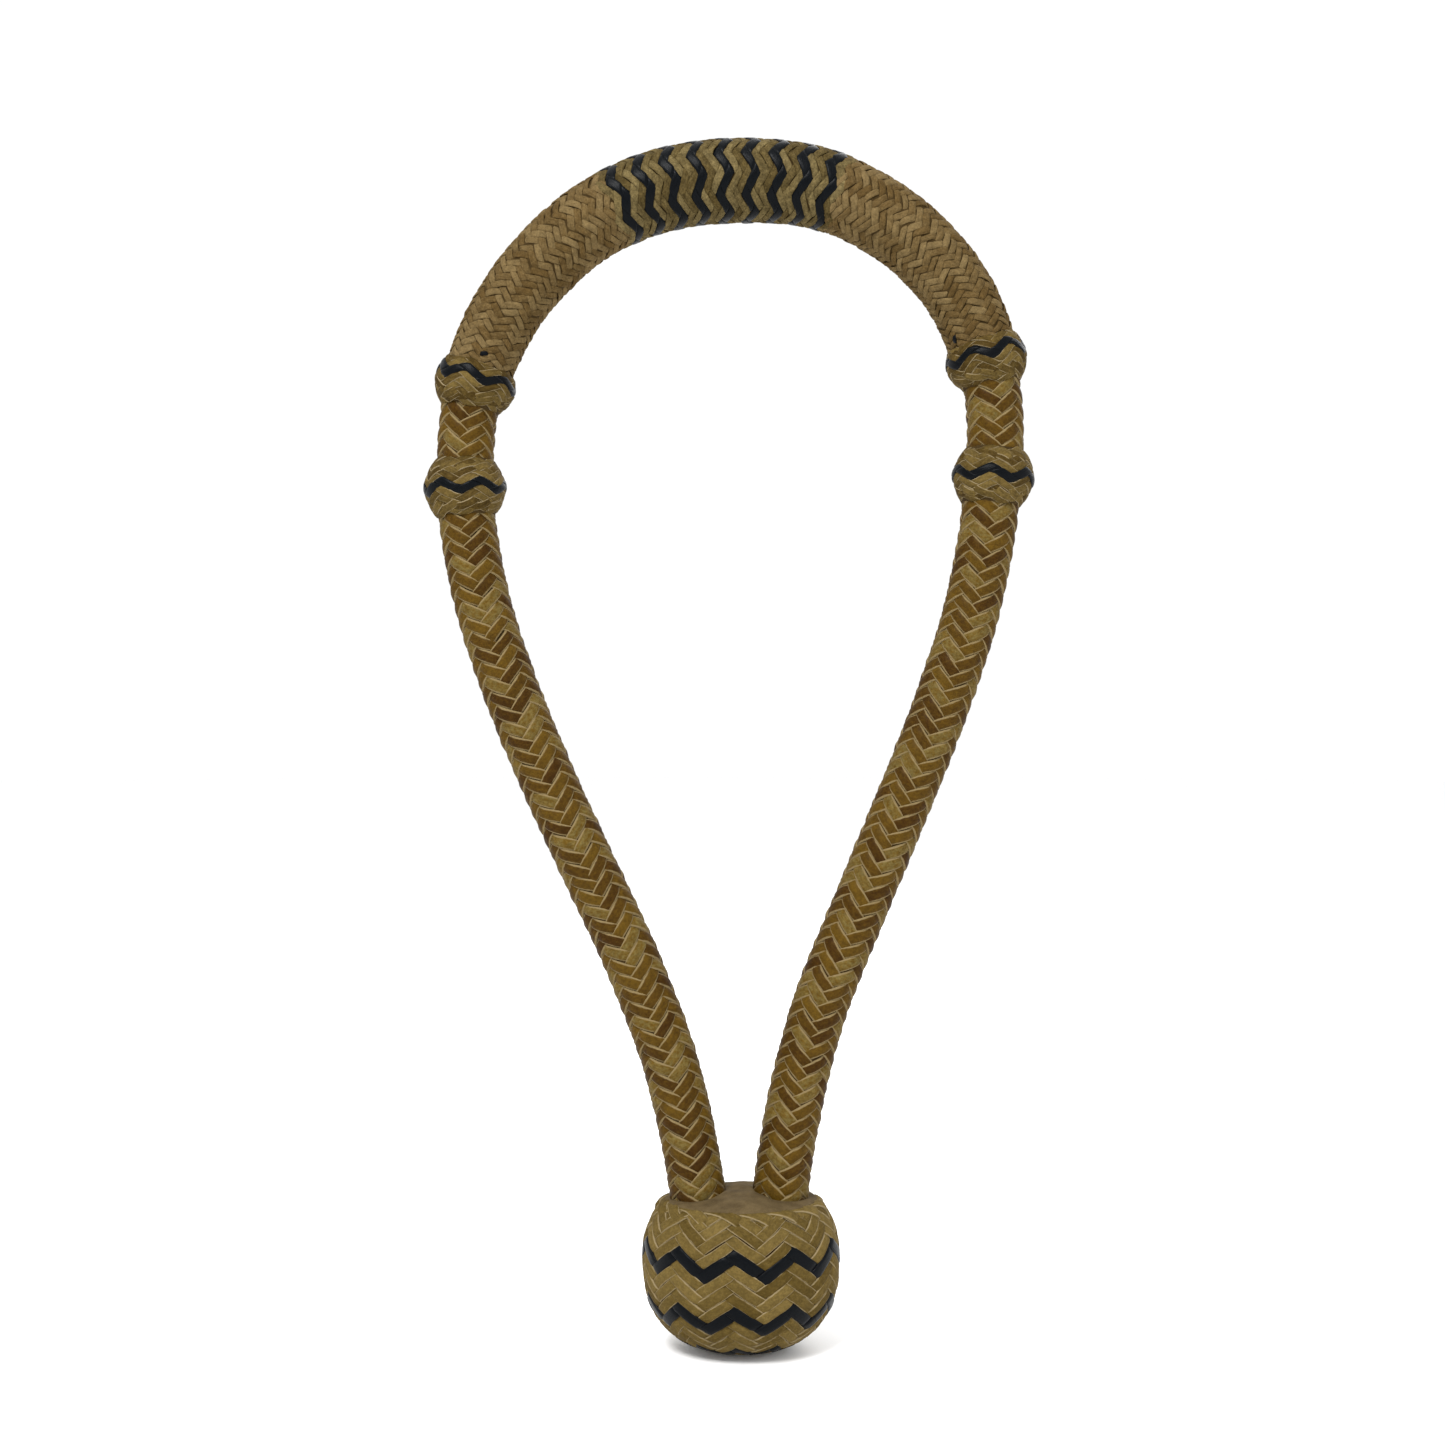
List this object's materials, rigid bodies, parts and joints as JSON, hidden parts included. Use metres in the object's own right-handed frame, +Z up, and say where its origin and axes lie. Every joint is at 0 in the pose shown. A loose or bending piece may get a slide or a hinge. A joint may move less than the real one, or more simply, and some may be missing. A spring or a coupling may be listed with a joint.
{
  "type": "bosal",
  "caption": "Braided rawhide bosal: a stiff teardrop noseband with a nose button, paired side knots, black zigzag interweave and a heel knot.",
  "frame": {"origin": "inner face of the nose button at the middle of the nose, where the horse's nose or a storage peg carries the loop", "axes": "+Z up from the heel knot to the nose button, +X to the right seen from the front, -Y towards the viewer"},
  "size_m": [0.1789, 0.046, 0.3524],
  "materials": {
    "hidden_rawhide": "rough undyed rawhide, out of sight",
    "shank_rawhide": "semi-gloss amber rawhide strings with pale cut edges",
    "natural_string": "matt natural rawhide strings",
    "black_string": "black dyed, satin",
    "cap_leather": "matt, plain"
  },
  "bodies": {
    "root": {"core": "hidden_rawhide", "shank_plait": "shank_rawhide", "nose_foundation": "hidden_rawhide", "nose_button_cover": "natural_string", "nose_string_1": "black_string", "nose_string_2": "black_string", "nose_string_3": "black_string", "nose_string_4": "black_string", "nose_string_5": "black_string", "nose_string_6": "black_string", "nose_string_7": "black_string", "nose_string_8": "black_string", "nose_string_9": "black_string", "left_upper_foundation": "hidden_rawhide", "left_upper_cover": "natural_string", "left_upper_string": "black_string", "right_upper_foundation": "hidden_rawhide", "right_upper_cover": "natural_string", "right_upper_string": "black_string", "left_side_foundation": "hidden_rawhide", "left_side_cover": "natural_string", "left_side_string": "black_string", "right_side_foundation": "hidden_rawhide", "right_side_cover": "natural_string", "right_side_string": "black_string", "heel_binding": "hidden_rawhide", "heel_foundation": "hidden_rawhide", "heel_cap": "cap_leather", "heel_cover": "natural_string", "heel_string_upper": "black_string", "heel_string_middle": "black_string", "heel_string_lower": "black_string"}
  },
  "joints": []
}
